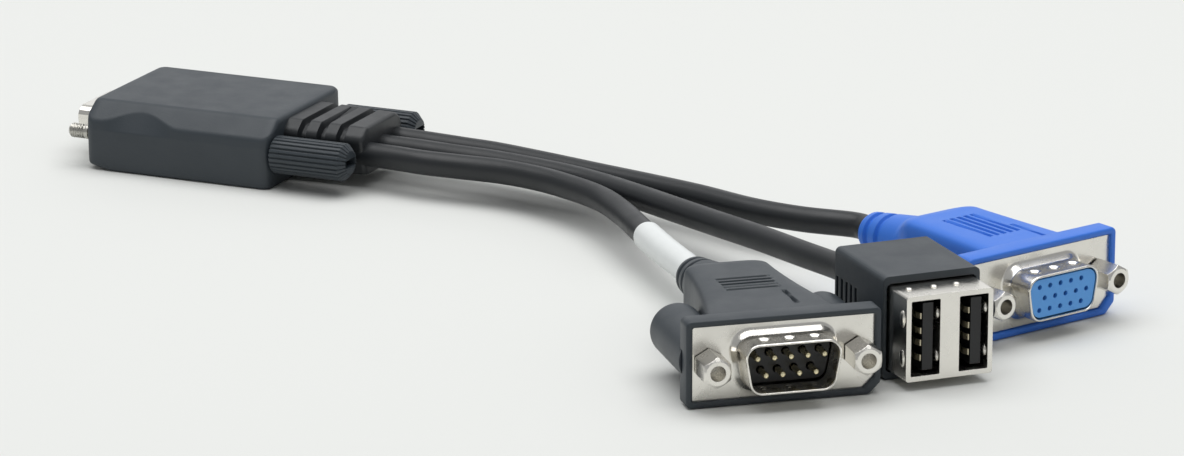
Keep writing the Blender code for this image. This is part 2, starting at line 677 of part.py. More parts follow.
def d_shell(name, width, height, flange, middle, parent):
    """A flange with a D-shaped skirt, one stamped piece. Its flange's front is at X = 0."""
    plate = frame_outline(*flange, middle, FLANGE_CORNER, FRAME_CHAMFER)
    steps = [(share, shell_flare(width, height, middle, share)) for share in (1.0, 0.35, 0.1)]
    outer = shell_flare(width, height, middle, 0.0)
    bore = shell_flare(width, height, middle, -SHELL_WALL / SHELL_ROOT_FLARE)
    sections = [(-SHEET, plate), (0.0, plate)]
    sections += [(SHELL_ROOT_FLARE * (1 - share) ** 2, flared) for share, flared in steps]
    sections += [(SHELL_ROOT_FLARE, outer), (SHELL_REACH, outer), (SHELL_REACH, bore), (-SHEET, bore)]
    shell = loft(name, sections, parent, ring=True)
    smooth(shell)
    set_finish(shell, *NICKEL)


def standoff(name, across, middle, parent):
    """A hexagonal standoff with a turned end and a threaded bore, seated on the flange."""
    corner = STANDOFF_ACROSS_FLATS / 2 / math.cos(math.pi / 6)
    angles = [math.pi / 3 * (index + 0.5) for index in range(6)]
    corners = [(across + corner * math.cos(a), middle + corner * math.sin(a)) for a in angles]
    start, end = GAP, GAP + STANDOFF_LENGTH
    floor = end - STANDOFF_BORE_DEPTH
    mesh_data = bmesh.new()
    add_loft(mesh_data, [(start, corners), (end, corners)])
    post = mesh_object(name, mesh_data, parent)
    turned = [
        (start - GAP / 2, round_outline(corner + STANDOFF_CHAMFER, middle, across)),
        (end - STANDOFF_CHAMFER, round_outline(corner, middle, across)),
        (end, round_outline(STANDOFF_ACROSS_FLATS / 2 - STANDOFF_CHAMFER / 2, middle, across)),
        (end, round_outline(STANDOFF_BORE_RADIUS, middle, across)),
        (floor, round_outline(STANDOFF_BORE_RADIUS, middle, across)),
    ]
    envelope = loft(f"{name}_turned_form", turned, parent)
    combine(post, envelope, "INTERSECT")
    set_finish(post, *NICKEL)


def hood_sections(middle, plug_length, body_length, front_width, rear_width, drop):
    """The moulding's outlines from the lead's socket through tail, body and frame to the flange's seat."""
    body_height = 2 * (middle - BODY_DROP)
    points = 2 * CORNER_POINTS
    end = -plug_length

    def tail(x, sink=0.0):
        share = (x - end) / TAIL_LENGTH
        radius = TAIL_RADIUS + (TAIL_ROOT_RADIUS - TAIL_RADIUS) * share - sink
        return x, round_outline(radius, middle - drop * (1 - share), last_quarter=points)

    def body(width, height, radius=BODY_CORNER):
        return frame_outline(width, height, middle, radius, 1.1 * radius)

    socket = round_outline(LEAD_DIAMETER / 2 + GAP, middle - drop, last_quarter=points)
    sections = [(end + LEAD_SOCKET_DEPTH, socket), (end, socket), tail(end, TAIL_RADIUS - TAIL_END_RADIUS)]
    sections.append(tail(end + 0.7 * MM))
    for index in range(2):
        start = end + TAIL_GROOVE_PITCH * (index + 0.6)
        stop = start + TAIL_GROOVE_WIDTH
        sections += [tail(start), tail(start, TAIL_GROOVE_DEPTH)]
        sections += [tail(stop, TAIL_GROOVE_DEPTH), tail(stop)]
    sections.append(tail(end + TAIL_LENGTH))
    funnel = plug_length - TAIL_LENGTH - body_length
    for share, size in ((0.4, 0.58), (0.75, 0.72), (0.92, 0.88)):
        outline = body(rear_width * max(size, 0.66), body_height * size)
        sections.append((end + TAIL_LENGTH + funnel * share, outline))
    back = FRAME_LIP + GAP - FRAME_THICKNESS
    for share in (0.0, 0.3, 0.6, 0.8, 1.0):
        x = (back + body_length) * share - body_length
        width = rear_width + (front_width - rear_width) * share**1.6
        sections.append((x, body(width, body_height)))
    return sections


def moulded_hood(name, parent, frame_width, frame_height, flange, sections, boss, look):
    """Frame, body, screw bosses and round tail of a connector, moulded in one piece."""
    boss_length, boss_radius = boss
    middle = frame_height / 2
    back = FRAME_LIP + GAP - FRAME_THICKNESS
    face = GAP + FRAME_LIP
    grow = 2 * GAP
    wide, high = flange
    pocket = frame_outline(wide + grow, high + grow, middle, FLANGE_CORNER + GAP, FRAME_CHAMFER)
    shrink = 2 * WINDOW_OVERLAP
    window = frame_outline(wide - shrink, high - shrink, middle, FLANGE_CORNER, FRAME_CHAMFER)
    frame = frame_outline(frame_width, frame_height, middle, FRAME_CORNER, FRAME_CHAMFER)
    sections = sections + [(back, frame), (face, frame), (face, window), (GAP, window)]
    sections += [(GAP, pocket), (-SHEET - GAP, pocket)]
    hood = loft(name, sections, parent)
    boss_mesh = bmesh.new()
    for side in (-1, 1):
        across = side * (wide / 2 - STANDOFF_EDGE - BOSS_INSET)
        profile = [(back + 1.2 * MM, boss_radius), (BOSS_DOME - boss_length, boss_radius)]
        for degrees in (30, 55, 78):
            angle = math.radians(degrees)
            x = BOSS_DOME * (1 - math.sin(angle)) - boss_length
            profile.append((x, boss_radius * math.cos(angle) ** 0.6))
        add_loft(boss_mesh, [(x, round_outline(r, middle, across)) for x, r in profile])
    combine(hood, mesh_object(f"{name}_bosses", boss_mesh, parent), "UNION")
    set_finish(hood, *look)
    return hood


def grip_cuts(hood, parent, top, crosswise, span, setback):
    """Shallow grip grooves in the body's top, and a single line beside the place where they end."""
    half, deep, high = GRIP_WIDTH / 2, top - GRIP_DEPTH, top + GRIP_DEPTH
    cuts = []
    for index in range(GRIP_COUNT):
        if crosswise:
            x = -setback - GRIP_PITCH * index
            cuts.append(((x - half, -span / 2, deep), (x + half, span / 2, high)))
        else:
            y = GRIP_PITCH * (index - (GRIP_COUNT - 1) / 2)
            cuts.append(((-setback - span, y - half, deep), (-setback, y + half, high)))
    low = (1.0 * MM - setback, GRIP_LINE_PLACE - half, deep)
    cuts.append((low, (-FRAME_THICKNESS - 0.5 * MM, GRIP_LINE_PLACE + half, high)))
    combine(hood, boxes(f"{hood.name}_grips", cuts, parent), "DIFFERENCE")


def serial_connector():
    """The nine-pin connector: hood, shell, insulator, pins and standoffs."""
    parent = place("serial_connector", SERIAL_PLACE, SERIAL_HEADING)
    middle = SERIAL_FRAME_HEIGHT / 2
    flange = flange_size(SERIAL_FRAME_WIDTH, SERIAL_FRAME_HEIGHT, SERIAL_FRAME_LEDGE)
    beside = flange[0] / 2 - STANDOFF_EDGE
    sections = hood_sections(
        middle,
        SERIAL_PLUG_LENGTH,
        SERIAL_BODY_LENGTH,
        SERIAL_BODY_FRONT_WIDTH,
        SERIAL_BODY_REAR_WIDTH,
        SERIAL_TAIL_DROP,
    )
    hood = moulded_hood(
        "serial_hood",
        parent,
        SERIAL_FRAME_WIDTH,
        SERIAL_FRAME_HEIGHT,
        flange,
        sections,
        (SERIAL_BOSS_LENGTH, SERIAL_BOSS_RADIUS),
        BLACK_PLASTIC,
    )
    top = SERIAL_FRAME_HEIGHT - BODY_DROP
    grip_cuts(hood, parent, top, True, SERIAL_GRIP_SPAN, SERIAL_GRIP_SETBACK)
    d_shell("serial_shell", SERIAL_SHELL_WIDTH, SERIAL_SHELL_HEIGHT, flange, middle, parent)
    inside = 2 * (SHELL_WALL + GAP)
    outline = d_outline(
        SERIAL_SHELL_WIDTH - inside, SERIAL_SHELL_HEIGHT - inside, middle, SHELL_CORNER - SHELL_WALL - GAP
    )
    insulator = loft("serial_insulator", [(-SHEET, outline), (SERIAL_INSULATOR_STEP, outline)], parent)
    places = [(PIN_PITCH * (i - 2), middle + PIN_ROW_PITCH / 2) for i in range(5)]
    places += [(PIN_PITCH * (i - 1.5), middle - PIN_ROW_PITCH / 2) for i in range(4)]
    hole_mesh = bmesh.new()
    for number, (across, up) in enumerate(places, start=1):
        hole = round_outline(PIN_RADIUS + PIN_CLEARANCE, up, across, points=SMALL_ROUND_POINTS)
        add_loft(hole_mesh, [(-2 * SHEET, hole), (SERIAL_INSULATOR_STEP + GAP, hole)])
        profile = [(-SHEET, PIN_RADIUS), (PIN_REACH - PIN_RADIUS, PIN_RADIUS)]
        profile += [(PIN_REACH - 0.35 * PIN_RADIUS, 0.8 * PIN_RADIUS), (PIN_REACH, 0.35 * PIN_RADIUS)]
        rings = [(x, round_outline(r, up, across, points=SMALL_ROUND_POINTS)) for x, r in profile]
        pin = loft(f"serial_pin_{number}", rings, parent)
        smooth(pin, 60.0)
        set_finish(pin, *PLATED)
    combine(insulator, mesh_object("serial_pin_holes", hole_mesh, parent), "DIFFERENCE")
    set_finish(insulator, *INSULATOR_BLACK)
    standoff("serial_standoff_left", -beside, middle, parent)
    standoff("serial_standoff_right", beside, middle, parent)


def video_connector():
    """The fifteen-hole connector: hood, shell, insulator with its socket holes, and standoffs."""
    parent = place("video_connector", VIDEO_PLACE, VIDEO_HEADING)
    middle = VIDEO_FRAME_HEIGHT / 2
    flange = flange_size(VIDEO_FRAME_WIDTH, VIDEO_FRAME_HEIGHT, VIDEO_FRAME_LEDGE)
    beside = flange[0] / 2 - STANDOFF_EDGE
    sections = hood_sections(
        middle,
        VIDEO_PLUG_LENGTH,
        VIDEO_BODY_LENGTH,
        VIDEO_BODY_FRONT_WIDTH,
        VIDEO_BODY_REAR_WIDTH,
        VIDEO_TAIL_DROP,
    )
    hood = moulded_hood(
        "video_hood",
        parent,
        VIDEO_FRAME_WIDTH,
        VIDEO_FRAME_HEIGHT,
        flange,
        sections,
        (VIDEO_BOSS_LENGTH, VIDEO_BOSS_RADIUS),
        BLUE_PLASTIC,
    )
    top = VIDEO_FRAME_HEIGHT - BODY_DROP
    grip_cuts(hood, parent, top, False, VIDEO_GRIP_SPAN, VIDEO_GRIP_SETBACK)
    d_shell("video_shell", VIDEO_SHELL_WIDTH, VIDEO_SHELL_HEIGHT, flange, middle, parent)
    inside = 2 * (SHELL_WALL + GAP)
    outline = d_outline(
        VIDEO_SHELL_WIDTH - inside, VIDEO_SHELL_HEIGHT - inside, middle, SHELL_CORNER - SHELL_WALL - GAP
    )
    face = SHELL_REACH - GAP
    insulator = loft("video_insulator", [(-SHEET, outline), (face, outline)], parent)
    hole_mesh = bmesh.new()
    for row, shift in ((1, -0.25), (0, 0.25), (-1, -0.25)):
        for column in range(5):
            across = SOCKET_PITCH * (column - 2 + shift)
            up = middle + SOCKET_ROW_PITCH * row
            hole = round_outline(SOCKET_RADIUS, up, across, points=SMALL_ROUND_POINTS)
            add_loft(hole_mesh, [(face - SOCKET_DEPTH, hole), (face + GAP, hole)])
    combine(insulator, mesh_object("video_socket_holes", hole_mesh, parent), "DIFFERENCE")
    set_finish(insulator, *PALE_BLUE)
    standoff("video_standoff_left", -beside, middle, parent)
    standoff("video_standoff_right", beside, middle, parent)


def usb_connector():
    """The twin connector: boot, shell with two upright ports, insulator with two tongues, contacts."""
    parent = place("usb_connector", USB_PLACE, USB_HEADING)
    middle = BOOT_HEIGHT / 2
    ports = (-PORT_PITCH / 2, PORT_PITCH / 2)
    front = -USB_SHELL_REACH
    rear = front - BOOT_LENGTH
    floor = -USB_SHELL_DEPTH - GAP - USB_BACK_PLATE - GAP
    outer = box_outline(BOOT_WIDTH, BOOT_HEIGHT, middle, BOOT_CORNER)
    inset = 2 * BOOT_CORNER
    end = box_outline(BOOT_WIDTH - inset, BOOT_HEIGHT - inset, middle, BOOT_CORNER / 2)
    seat = box_outline(USB_SHELL_WIDTH + 2 * GAP, USB_SHELL_HEIGHT + 2 * GAP, middle, USB_SHELL_CORNER + GAP)
    collar = box_outline(BOOT_COLLAR_WIDTH, BOOT_COLLAR_HEIGHT, middle, BOOT_CORNER)
    tail = rear - BOOT_COLLAR_LENGTH
    socket = round_outline(LEAD_DIAMETER / 2 + GAP, middle)
    sections = [(tail + LEAD_SOCKET_DEPTH, socket), (tail, socket), (tail, collar)]
    sections += [(rear, collar), (rear, end)]
    sections += [(rear + BOOT_CORNER, outer), (front, outer), (front, seat), (floor, seat)]
    boot = loft("usb_boot", sections, parent)
    cuts = []
    for side in (-1, 1):
        deep = side * (BOOT_WIDTH / 2 - BOOT_SLOT_DEPTH)
        y0, y1 = sorted((deep, side * BOOT_WIDTH))
        for index in range(BOOT_SLOT_COUNT):
            x = rear + BOOT_SLOT_SETBACK + BOOT_SLOT_PITCH * index
            low = (x, y0, middle - BOOT_SLOT_HEIGHT / 2)
            cuts.append((low, (x + BOOT_SLOT_WIDTH, y1, middle + BOOT_SLOT_HEIGHT / 2)))
    combine(boot, boxes("usb_boot_slots", cuts, parent), "DIFFERENCE")
    set_finish(boot, *BLACK_PLASTIC)
    box = box_outline(USB_SHELL_WIDTH, USB_SHELL_HEIGHT, middle, USB_SHELL_CORNER)
    shell = loft("usb_shell", [(-USB_SHELL_DEPTH, box), (0.0, box)], parent)
    port_mesh = bmesh.new()
    for across in ports:
        hole = box_outline(PORT_WIDTH, PORT_HEIGHT, middle, 0.2 * MM, across)
        add_loft(port_mesh, [(-USB_SHELL_DEPTH - GAP, hole), (GAP, hole)])
    combine(shell, mesh_object("usb_ports", port_mesh, parent), "DIFFERENCE")
    set_finish(shell, *NICKEL)
    back = -USB_SHELL_DEPTH - GAP
    plate = (
        (back - USB_BACK_PLATE, -USB_SHELL_WIDTH / 2, middle - USB_SHELL_HEIGHT / 2),
        (back, USB_SHELL_WIDTH / 2, middle + USB_SHELL_HEIGHT / 2),
    )
    insulator = boxes("usb_insulator", [plate], parent)
    tongues = []
    number = 0
    for across in ports:
        near = across + TONGUE_OFFSET - TONGUE_THICKNESS / 2
        low = (back - USB_BACK_PLATE / 2, near, middle - TONGUE_HEIGHT / 2)
        tongues.append((low, (-TONGUE_SETBACK, near + TONGUE_THICKNESS, middle + TONGUE_HEIGHT / 2)))
        for height in USB_CONTACT_HEIGHTS:
            number += 1
            usb_contact(f"usb_contact_{number}", near - PIN_CLEARANCE, middle + height, parent)
    combine(insulator, boxes("usb_tongues", tongues, parent), "UNION")
    set_finish(insulator, *INSULATOR_BLACK)


def usb_contact(name, face, height, parent):
    """A sprung strip beside a tongue, bowed out near its front end."""
    tip = -USB_CONTACT_SETBACK
    root = tip - USB_CONTACT_LENGTH
    bow = USB_CONTACT_BUMP
    line = [(root, 0.0), (tip - 3.2 * MM, 0.0), (tip - 1.8 * MM, bow), (tip - 0.9 * MM, bow), (tip, 0.0)]
    outline = [(x, face - rise - USB_CONTACT_THICKNESS) for x, rise in line]
    outline += [(x, face - rise) for x, rise in reversed(line)]
    mesh_data = bmesh.new()
    half = USB_CONTACT_WIDTH / 2
    low = [mesh_data.verts.new((x, y, height - half)) for x, y in outline]
    high = [mesh_data.verts.new((x, y, height + half)) for x, y in outline]
    mesh_data.faces.new(low)
    mesh_data.faces.new(high)
    for index in range(len(low)):
        after = (index + 1) % len(low)
        mesh_data.faces.new((low[index], low[after], high[after], high[index]))
    contact = mesh_object(name, mesh_data, parent)
    set_finish(contact, *PLATED)


def smooth_route(points, spacing):
    """Reads points at an even spacing from a smooth curve through the route's own points."""
    guide = [2 * points[0] - points[1]] + points + [2 * points[-1] - points[-2]]
    fine = []
    for index in range(1, len(guide) - 2):
        a, b, c, d = guide[index - 1 : index + 3]
        for step in range(24):
            t = step / 24
            spot = 2 * b + (c - a) * t + (2 * a - 5 * b + 4 * c - d) * t**2
            fine.append((spot + (3 * b - a - 3 * c + d) * t**3) / 2)
    fine.append(points[-1])
    lengths = [0.0]
    for before, after in zip(fine, fine[1:]):
        lengths.append(lengths[-1] + (after - before).length)
    count = max(2, round(lengths[-1] / spacing))
    route, index = [], 0
    for step in range(count + 1):
        target = lengths[-1] * step / count
        while index < len(lengths) - 2 and lengths[index + 1] < target:
            index += 1
        share = (target - lengths[index]) / (lengths[index + 1] - lengths[index])
        route.append(fine[index].lerp(fine[index + 1], share))
    return route


def lead(name, across, middle_points, end, heading):
    """A round lead from the hub's strain relief to a connector's tail, as a curve with a bevel."""
    mouth = REAR + GAP + RELIEF_LENGTH
    start = Vector((mouth - LEAD_SOCKET_DEPTH + GAP, across, SCREW_HEIGHT))
    along = Vector((math.cos(heading), math.sin(heading), 0.0))
    last = end + along * (LEAD_SOCKET_DEPTH - GAP)
    points = [Vector((mouth + GAP, across, SCREW_HEIGHT))]
    points += [Vector(point) for point in middle_points]
    points += [end - along * LEAD_STRAIGHT, end - along * GAP]
    route = [start] + smooth_route(points, LEAD_POINT_SPACING) + [last]
    curve = bpy.data.curves.new(name, "CURVE")
    curve.dimensions = "3D"
    curve.bevel_depth = LEAD_DIAMETER / 2
    curve.bevel_resolution = 3
    curve.use_fill_caps = True
    spline = curve.splines.new("POLY")
    spline.points.add(len(route) - 1)
    for point, spot in zip(spline.points, route):
        point.co = (*spot, 1.0)
    obj = bpy.data.objects.new(name, curve)
    bpy.context.scene.collection.objects.link(obj)
    obj.data.materials.append(finish(name, *BLACK_RUBBER))
    return route


def label_sleeve(route):
    """A thin blank sleeve round the last stretch of the serial lead, short of the connector."""
    spots, travelled = [], 0.0
    first = LEAD_SOCKET_DEPTH + LABEL_SETBACK
    backwards = list(reversed(route))
    for before, after in zip(backwards, backwards[1:]):
        length = (after - before).length
        for limit in (first, first + LABEL_LENGTH):
            if travelled <= limit < travelled + length:
                spots.append(before.lerp(after, (limit - travelled) / length))
        if first < travelled + length < first + LABEL_LENGTH:
            spots.append(after.copy())
        travelled += length
    inner = LEAD_DIAMETER / 2 + LABEL_CLEARANCE
    radii = (inner / math.cos(math.pi / 20), inner + LABEL_THICKNESS + LABEL_CLEARANCE)
    mesh_data = bmesh.new()
    rings = []
    for radius, order in ((radii[0], spots), (radii[1], list(reversed(spots)))):
        for index, spot in enumerate(order):
            before = order[max(index - 1, 0)]
            after = order[min(index + 1, len(order) - 1)]
            along = (after - before).normalized()
            side = along.cross(Vector((0.0, 0.0, 1.0))).normalized()
            up = side.cross(along)
            turns = [2 * math.pi * n / 20 for n in range(20)]
            flip = 1 if order is spots else -1
            ring = [spot + (side * math.cos(a) * flip + up * math.sin(a)) * radius for a in turns]
            rings.append([mesh_data.verts.new(v) for v in ring])
    for first, second in zip(rings, rings[1:] + rings[:1]):
        for index in range(20):
            after = (index + 1) % 20
            mesh_data.faces.new((first[index], first[after], second[after], second[index]))
    sleeve = mesh_object("lead_label", mesh_data)
    smooth(sleeve)
    set_finish(sleeve, *WHITE_FILM)


def leads():
    """The three leads, side by side out of the hub, and the label on the serial one."""
    serial_height = SERIAL_FRAME_HEIGHT / 2 - SERIAL_TAIL_DROP
    serial_end = in_world(SERIAL_PLACE, SERIAL_HEADING, -SERIAL_PLUG_LENGTH, serial_height)
    usb_tail = -USB_SHELL_REACH - BOOT_LENGTH - BOOT_COLLAR_LENGTH
    usb_end = in_world(USB_PLACE, USB_HEADING, usb_tail, BOOT_HEIGHT / 2)
    video_height = VIDEO_FRAME_HEIGHT / 2 - VIDEO_TAIL_DROP
    video_end = in_world(VIDEO_PLACE, VIDEO_HEADING, -VIDEO_PLUG_LENGTH, video_height)
    route = lead("serial_lead", -LEAD_PITCH, SERIAL_ROUTE, serial_end, SERIAL_HEADING)
    lead("usb_lead", 0.0, USB_ROUTE, usb_end, USB_HEADING)
    lead("video_lead", LEAD_PITCH, VIDEO_ROUTE, video_end, VIDEO_HEADING)
    label_sleeve(route)


def build():
    """Makes every piece of the cable."""
    clear_scene()
    hub_hood()
    hub_shell()
    hub_contact_block()
    hub_strain_relief()
    thumbscrew("near", -1, 0.0)
    thumbscrew("far", 1, FAR_SCREW_BACKED_OUT)
    serial_connector()
    usb_connector()
    video_connector()
    leads()


build()
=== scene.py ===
"""Looks and fine surfaces of a console breakout cable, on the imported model.

Lengths are in millimetres until a mesh is written. Every surface is a grid of rings: each ring is a
closed outline across a piece, and the rings follow one another along it.
"""

import math

import bpy
import numpy as np
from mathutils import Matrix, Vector


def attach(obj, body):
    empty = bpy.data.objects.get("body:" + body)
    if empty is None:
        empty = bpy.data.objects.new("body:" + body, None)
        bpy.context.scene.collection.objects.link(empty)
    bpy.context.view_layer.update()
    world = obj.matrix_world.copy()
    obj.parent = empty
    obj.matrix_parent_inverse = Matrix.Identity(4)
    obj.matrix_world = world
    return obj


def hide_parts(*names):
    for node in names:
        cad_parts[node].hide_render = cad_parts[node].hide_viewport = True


MM = 0.001

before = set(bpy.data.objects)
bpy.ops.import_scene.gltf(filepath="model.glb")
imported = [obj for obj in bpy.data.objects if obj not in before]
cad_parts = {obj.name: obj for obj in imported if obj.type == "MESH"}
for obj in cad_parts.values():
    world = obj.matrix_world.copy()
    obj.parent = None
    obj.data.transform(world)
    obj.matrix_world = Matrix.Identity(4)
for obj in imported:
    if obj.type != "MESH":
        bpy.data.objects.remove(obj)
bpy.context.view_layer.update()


# ---------------------------------------------------------------- colour and materials


def linear(code, alpha=1.0):
    """An sRGB hex colour as linear red, green, blue and alpha."""
    parts = [int(code[i : i + 2], 16) / 255 for i in (1, 3, 5)]
    return tuple(c / 12.92 if c <= 0.04045 else ((c + 0.055) / 1.055) ** 2.4 for c in parts) + (alpha,)


def add(tree, kind, settings=None, **inputs):
    """Adds a node. Settings are its attributes. Inputs are socket values, or sockets to link from."""
    made = tree.nodes.new(kind)
    for key, value in (settings or {}).items():
        setattr(made, key, value)
    for key, value in inputs.items():
        socket = made.inputs[key.replace("_", " ")]
        if isinstance(value, bpy.types.NodeSocket):
            tree.links.new(value, socket)
        else:
            socket.default_value = value
    return made


def material(name, colour, roughness, metallic=0.0, grain=0.0, grain_size=0.5, bevel=0.0, wear=0.0, **extra):
    """A Principled material with fine grain, uneven roughness, and edges that catch the light.

    grain is the height of the surface texture and grain_size its grain, both in millimetres. bevel is
    the radius of the softened edges. wear is how much the roughness drifts.
    """
    made = bpy.data.materials.new(name)
    made.use_nodes = True
    tree = made.node_tree
    shader = tree.nodes["Principled BSDF"]
    shader.inputs["Base Color"].default_value = linear(colour)
    shader.inputs["Roughness"].default_value = roughness
    shader.inputs["Metallic"].default_value = metallic
    for key, value in extra.items():
        shader.inputs[key.replace("_", " ")].default_value = value
    place = add(tree, "ShaderNodeTexCoord").outputs["Object"]
    normal = None
    if bevel:
        normal = add(tree, "ShaderNodeBevel", {"samples": 6}, Radius=bevel * MM).outputs["Normal"]
    if grain:
        noise = add(
            tree, "ShaderNodeTexNoise", Vector=place, Scale=1 / (grain_size * MM), Detail=3.0, Roughness=0.55
        )
        bump = add(tree, "ShaderNodeBump", Height=noise.outputs["Fac"], Distance=grain * MM, Strength=1.0)
        if normal:
            tree.links.new(normal, bump.inputs["Normal"])
        normal = bump.outputs["Normal"]
    if normal:
        tree.links.new(normal, shader.inputs["Normal"])
    if wear:
        cloud = add(tree, "ShaderNodeTexNoise", Vector=place, Scale=1 / (6 * MM), Detail=4.0, Roughness=0.6)
        rough = add(
            tree,
            "ShaderNodeMapRange",
            Value=cloud.outputs["Fac"],
            From_Min=0.3,
            From_Max=0.7,
            To_Min=roughness * (1 - wear),
            To_Max=min(roughness * (1 + wear), 1.0),
        )
        tree.links.new(rough.outputs["Result"], shader.inputs["Roughness"])
    return made


MOULDED = material("textured_black_abs", "#2f363c", 0.48, grain=0.02, grain_size=0.35, bevel=0.25, wear=0.10)
JACKET = material("black_pvc_jacket", "#191c1f", 0.42, grain=0.012, grain_size=0.5, wear=0.15)
RELIEF = material("black_pvc_relief", "#202326", 0.45, grain=0.015, grain_size=0.45, wear=0.12)
BLUE = material("blue_pvc_moulding", "#2f71d6", 0.44, grain=0.012, grain_size=0.4, bevel=0.2, wear=0.10)
BLACK_PBT = material("black_pbt_insulator", "#101012", 0.38, grain=0.006, grain_size=0.3, bevel=0.1)
BLUE_PBT = material("pale_blue_pbt_insulator", "#549be2", 0.45, grain=0.008, grain_size=0.3)
NICKEL = material(
    "bright_nickel_plate", "#e4e1da", 0.25, 1.0, grain=0.004, grain_size=0.8, bevel=0.12, wear=0.30
)
STEEL = material("turned_steel", "#b9b7b0", 0.30, 1.0, grain=0.004, grain_size=0.3, wear=0.20)
GOLD = material("gold_flash_contact", "#e9dfbb", 0.26, 1.0, bevel=0.15, wear=0.10)
DULL_GOLD = material("dull_gold_spring_contact", "#b9b19a", 0.34, 1.0, bevel=0.12)
LABEL = material("white_polyester_label", "#dcdfde", 0.40, grain=0.02, grain_size=1.4, wear=0.15)

LOOKS = {
    "hub_hood": MOULDED,
    "hub_strain_relief": RELIEF,
    "hub_plug_shell": NICKEL,
    "hub_contact_block": BLACK_PBT,
    "thumb_head": MOULDED,
    "jackscrew": STEEL,
    "serial_hood": MOULDED,
    "video_hood": BLUE,
    "video_insulator": BLUE_PBT,
    "_shell": NICKEL,
    "standoff": NICKEL,
    "_insulator": BLACK_PBT,
    "serial_pin": GOLD,
    "usb_contact": DULL_GOLD,
    "usb_boot": MOULDED,
    "_lead": JACKET,
    "lead_label": LABEL,
}
for name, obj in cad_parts.items():
    look = next(look for part, look in LOOKS.items() if part in name)
    for slot in obj.material_slots:
        slot.material = look


# ---------------------------------------------------------------- surfaces


def place_new(name, data):
    """A new object in the scene."""
    made = bpy.data.objects.new(name, data)
    bpy.context.scene.collection.objects.link(made)
    return made


def surface(name, points, faces, look, sharp):
    """One smooth object, with edges that stay sharp from the given angle on."""
    mesh = bpy.data.meshes.new(name)
    mesh.from_pydata((points * MM).tolist(), [], faces)
    mesh.validate()
    mesh.shade_smooth()
    mesh.set_sharp_from_angle(angle=math.radians(sharp))
    mesh.materials.append(look)
    return place_new(name, mesh)


def quads(here, there, around):
    """Faces between rings, which start at the point numbers here and there."""
    step = np.arange(around)[None, :]
    after = (step + 1) % around
    here, there = here[:, None], there[:, None]
    return np.stack([here + step, here + after, there + after, there + step], -1).reshape(-1, 4).tolist()


def rings_mesh(name, shells, look, sharp=38.0):
    """One object from shells, each a (rings, points, 3) grid that is closed by a cap at both ends."""
    points, faces, base = [], [], 0
    for grid in shells:
        count, around = grid.shape[:2]
        starts = base + np.arange(count) * around
        points.append(grid.reshape(-1, 3))
        faces += quads(starts[:-1], starts[1:], around)
        faces.append((base + np.arange(around)[::-1]).tolist())
        faces.append((starts[-1] + np.arange(around)).tolist())
        base += count * around
    return surface(name, np.concatenate(points), faces, look, sharp)


def hollow_mesh(name, grid, look, sharp=45.0):
    """One object from a grid whose last ring joins its first, as in a pressed shell."""
    count, around = grid.shape[:2]
    starts = np.arange(count) * around
    return surface(name, grid.reshape(-1, 3), quads(starts, np.roll(starts, -1), around), look, sharp)


def distances(line):
    """The distance along a line at each of its points."""
    return np.append(0, np.cumsum(np.linalg.norm(np.diff(line, axis=0), axis=1)))


def walk(line, places):
    """The points at the given distances along a line."""
    travelled = distances(line)
    return np.stack([np.interp(places, travelled, column) for column in line.T], -1)


def evenly(line, count):
    """Points at even spacing along a line that ends where it starts."""
    return walk(line, np.linspace(0, distances(line)[-1], count, endpoint=False))


def circle(count):
    """The points of a unit circle."""
    angle = np.arange(count) * 2 * math.pi / count
    return np.stack([np.cos(angle), np.sin(angle)], -1)


def rounded(corners, radii, points=8):
    """A convex outline with an arc of the given radius at each corner, as (count, 2)."""
    outline = []
    for index, corner in enumerate(corners):
        corner = np.array(corner, float)
        before = np.array(corners[index - 1], float) - corner
        after = np.array(corners[(index + 1) % len(corners)], float) - corner
        before /= np.linalg.norm(before)
        after /= np.linalg.norm(after)
        half = math.acos(np.clip(before @ after, -1, 1)) / 2
        middle = before + after
        if np.linalg.norm(middle) < 1e-6:
            outline += [corner] * points
            continue
        centre = corner + middle / np.linalg.norm(middle) * radii[index] / math.sin(half)
        start = corner + before * radii[index] / math.tan(half) - centre
        for angle in np.linspace(0, math.pi - 2 * half, points):
            c, s = math.cos(angle), math.sin(angle)
            outline.append(centre + np.array([start[0] * c - start[1] * s, start[0] * s + start[1] * c]))
    return np.array(outline)


def superellipse(half_width, half_height, power, count=240):
    """y = a cos^(2/p), z = b sin^(2/p), with points at even spacing along the outline.

    It is a circle at p = 2 and turns into a rounded box as p grows.
    """
    angle = np.linspace(0, 2 * math.pi, 1441)
    c, s = np.cos(angle), np.sin(angle)
    y = half_width * np.sign(c) * np.abs(c) ** (2 / power)
    z = half_height * np.sign(s) * np.abs(s) ** (2 / power)
    return evenly(np.stack([y, z], -1), count)


def ring(x, outline, middle=0.0):
    """An outline of y and z as a ring at x, with z raised to the middle."""
    outline = np.asarray(outline)
    return np.column_stack([np.full(len(outline), x), outline[:, 0], outline[:, 1] + middle])


def ease(value, low, high):
    """0 below low, 1 above high, smooth between."""
    share = np.clip((np.asarray(value, float) - low) / (high - low), 0, 1)
    return share * share * (3 - 2 * share)


def lathe(profile, across, middle, count=40):
    """A turned form about a line along X: profile is x and radius."""
    return np.array([ring(x, circle(count) * radius + (across, middle)) for x, radius in profile])


def put(grids, position, heading):
    """Moves grids from a connector's own frame to where the connector lies."""
    c, s = math.cos(heading), math.sin(heading)
    turn = np.array([[c, s, 0], [-s, c, 0], [0, 0, 1]])
    return [grid @ turn + np.array([position[0], position[1], 0.0]) for grid in grids]


def dress(obj, slot, *nodes, body="cable"):
    """Makes a surface stand for its solids, which it hides, and ride on their body."""
    if nodes:
        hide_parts(*nodes)
    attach(obj, body)
    return obj


# ---------------------------------------------------------------- hub plug

